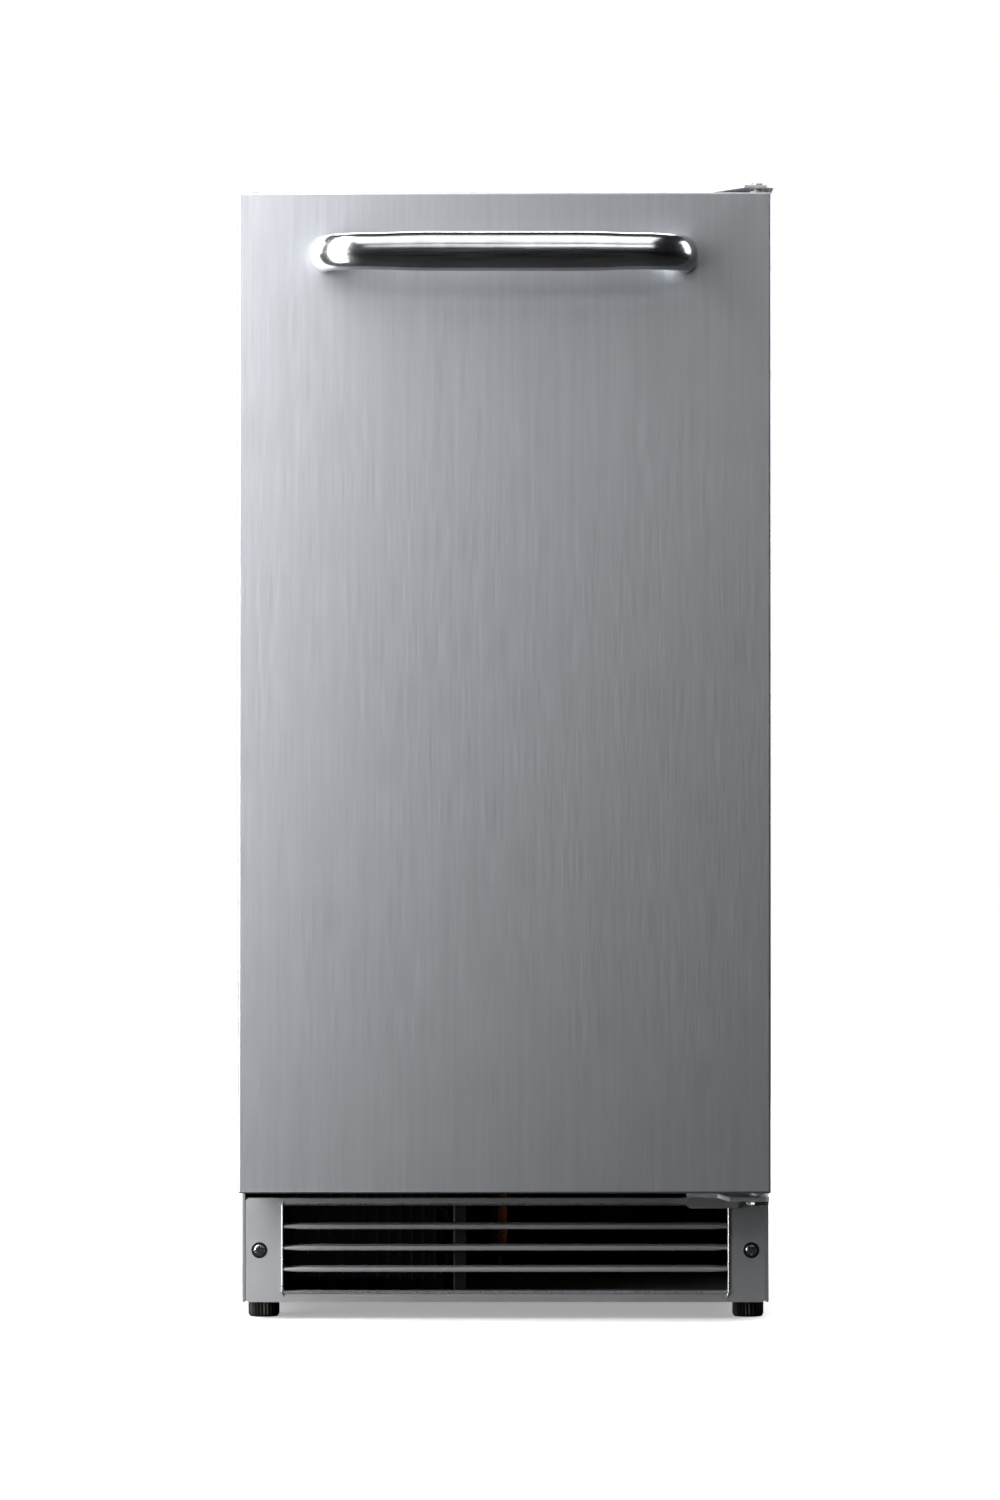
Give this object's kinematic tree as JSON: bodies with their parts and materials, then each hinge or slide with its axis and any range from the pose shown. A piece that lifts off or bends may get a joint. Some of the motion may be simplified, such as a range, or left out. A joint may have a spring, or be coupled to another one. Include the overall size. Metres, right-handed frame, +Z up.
{
  "type": "undercounter ice maker",
  "caption": "Undercounter ice maker: hinged stainless door with a bar handle over a louvred base, and an ice module, slide-out bin and scoop inside.",
  "frame": {"origin": "on the floor under the centre of the whole machine's plan, handle included", "axes": "+Z up, +X to the right as seen from the front, -Y towards the user"},
  "size_m": [0.38, 0.601, 0.8128],
  "materials": {
    "stainless": "satin",
    "polished_steel": "polished",
    "painted_steel": "satin",
    "satin_grille": "satin",
    "black_paint": "satin",
    "black_plastic": "matte",
    "grey_plastic": "satin",
    "white_plastic": "satin",
    "clear_plastic": "gloss",
    "gasket_rubber": "matte",
    "foam": "matte",
    "aluminium": "satin",
    "copper": "satin",
    "brass": "satin"
  },
  "bodies": {
    "cabinet": {"side_panel_left": "painted_steel", "side_panel_right": "painted_steel", "top_panel": "painted_steel", "rear_panel": "painted_steel", "insulation_foam": "foam", "inner_liner": "white_plastic", "front_rail": "painted_steel", "base_pan": "painted_steel", "front_grille": "satin_grille", "grille_screw_left": "polished_steel", "grille_screw_right": "polished_steel", "air_divider": "painted_steel", "rear_vent_cover": "painted_steel", "cord_gland": "black_plastic", "top_hinge_bracket": "stainless", "top_hinge_pin": "polished_steel", "hinge_hole_plug": "black_plastic", "bottom_hinge_bracket": "stainless", "bottom_hinge_pin": "polished_steel", "compressor": "black_paint", "relay_cover": "black_plastic", "condenser_coil": "black_paint", "fan_shroud": "black_plastic", "condenser_fan_motor": "painted_steel", "filter_drier": "copper", "discharge_pipe": "copper", "suction_pipe": "copper", "water_valve": "grey_plastic", "fill_tube": "clear_plastic", "evaporator_coil": "aluminium", "evaporator_cover": "white_plastic", "evaporator_fan_motor": "painted_steel", "ice_mould": "aluminium", "mould_heater": "polished_steel", "ice_stripper": "grey_plastic", "drive_motor": "painted_steel", "control_housing": "grey_plastic", "fill_cup": "white_plastic", "control_panel": "grey_plastic"},
    "door": {"door_skin": "stainless", "door_foam": "foam", "door_liner": "white_plastic", "door_gasket": "gasket_rubber", "door_bush_top": "white_plastic", "door_bush_bottom": "white_plastic", "door_handle": "polished_steel"},
    "bin": {"ice_bin": "clear_plastic"},
    "scoop": {"ice_scoop": "white_plastic"},
    "shutoff": {"shutoff_arm": "polished_steel"},
    "ejector_shaft": {"ejector": "grey_plastic", "drive_gear": "white_plastic"},
    "pinion": {"motor_pinion": "brass"},
    "condenser_rotor": {"condenser_fan": "black_plastic"},
    "evaporator_rotor": {"evaporator_fan": "white_plastic"},
    "rocker": {"power_rocker": "black_plastic"},
    "knob": {"thermostat_knob": "black_plastic"},
    "foot_front_left": {"leveling_foot_front_left": "black_plastic"},
    "foot_front_right": {"leveling_foot_front_right": "black_plastic"},
    "foot_rear_left": {"leveling_foot_rear_left": "black_plastic"},
    "foot_rear_right": {"leveling_foot_rear_right": "black_plastic"}
  },
  "joints": [
    {"name": "door_swing", "type": "hinge", "parent": "cabinet", "child": "door", "pos_m": [0.18, -0.2345, 0.45], "axis": [0, 0, 1], "range_deg": [0, 120]},
    {"name": "bin_slide", "type": "slide", "parent": "cabinet", "child": "bin", "axis": [0, -1, 0], "range_m": [0, 0.1202]},
    {"name": "scoop_lift", "type": "slide", "parent": "cabinet", "child": "scoop", "axis": [0, 0, 1], "range_m": [0, 0.04]},
    {"name": "shutoff_lift", "type": "hinge", "parent": "cabinet", "child": "shutoff", "pos_m": [-0.056, -0.05, 0.69], "axis": [0, -1, 0], "range_deg": [0, 30]},
    {"name": "ejector_spin", "type": "hinge", "parent": "cabinet", "child": "ejector_shaft", "pos_m": [-0.095, -0.05, 0.678], "axis": [0, 1, 0], "continuous": true},
    {"name": "pinion_spin", "type": "hinge", "parent": "cabinet", "child": "pinion", "pos_m": [-0.0806, -0.165, 0.65306], "axis": [0, 1, 0], "continuous": true},
    {"name": "condenser_fan_spin", "type": "hinge", "parent": "cabinet", "child": "condenser_rotor", "pos_m": [-0.107, -0.0575, 0.061], "axis": [0, 1, 0], "continuous": true},
    {"name": "evaporator_fan_spin", "type": "hinge", "parent": "cabinet", "child": "evaporator_rotor", "pos_m": [0.06, 0.2125, 0.69], "axis": [0, 1, 0], "continuous": true},
    {"name": "rocker_tip", "type": "hinge", "parent": "cabinet", "child": "rocker", "pos_m": [0.058, -0.1695, 0.743], "axis": [-1, 0, 0], "range_deg": [0, 16]},
    {"name": "thermostat_turn", "type": "hinge", "parent": "cabinet", "child": "knob", "pos_m": [0.104, -0.18, 0.743], "axis": [0, -1, 0], "range_deg": [0, 270]},
    {"name": "foot_front_left_extend", "type": "slide", "parent": "cabinet", "child": "foot_front_left", "axis": [0, 0, -1], "range_m": [0, 0.02]},
    {"name": "foot_front_right_extend", "type": "slide", "parent": "cabinet", "child": "foot_front_right", "axis": [0, 0, -1], "range_m": [0, 0.02]},
    {"name": "foot_rear_left_extend", "type": "slide", "parent": "cabinet", "child": "foot_rear_left", "axis": [0, 0, -1], "range_m": [0, 0.02]},
    {"name": "foot_rear_right_extend", "type": "slide", "parent": "cabinet", "child": "foot_rear_right", "axis": [0, 0, -1], "range_m": [0, 0.02]}
  ],
  "couplings": [
    {"joint": "bin_slide", "follows": "door_swing", "m_per_rad": 0.0573},
    {"joint": "pinion_spin", "follows": "ejector_spin", "ratio": -3}
  ]
}
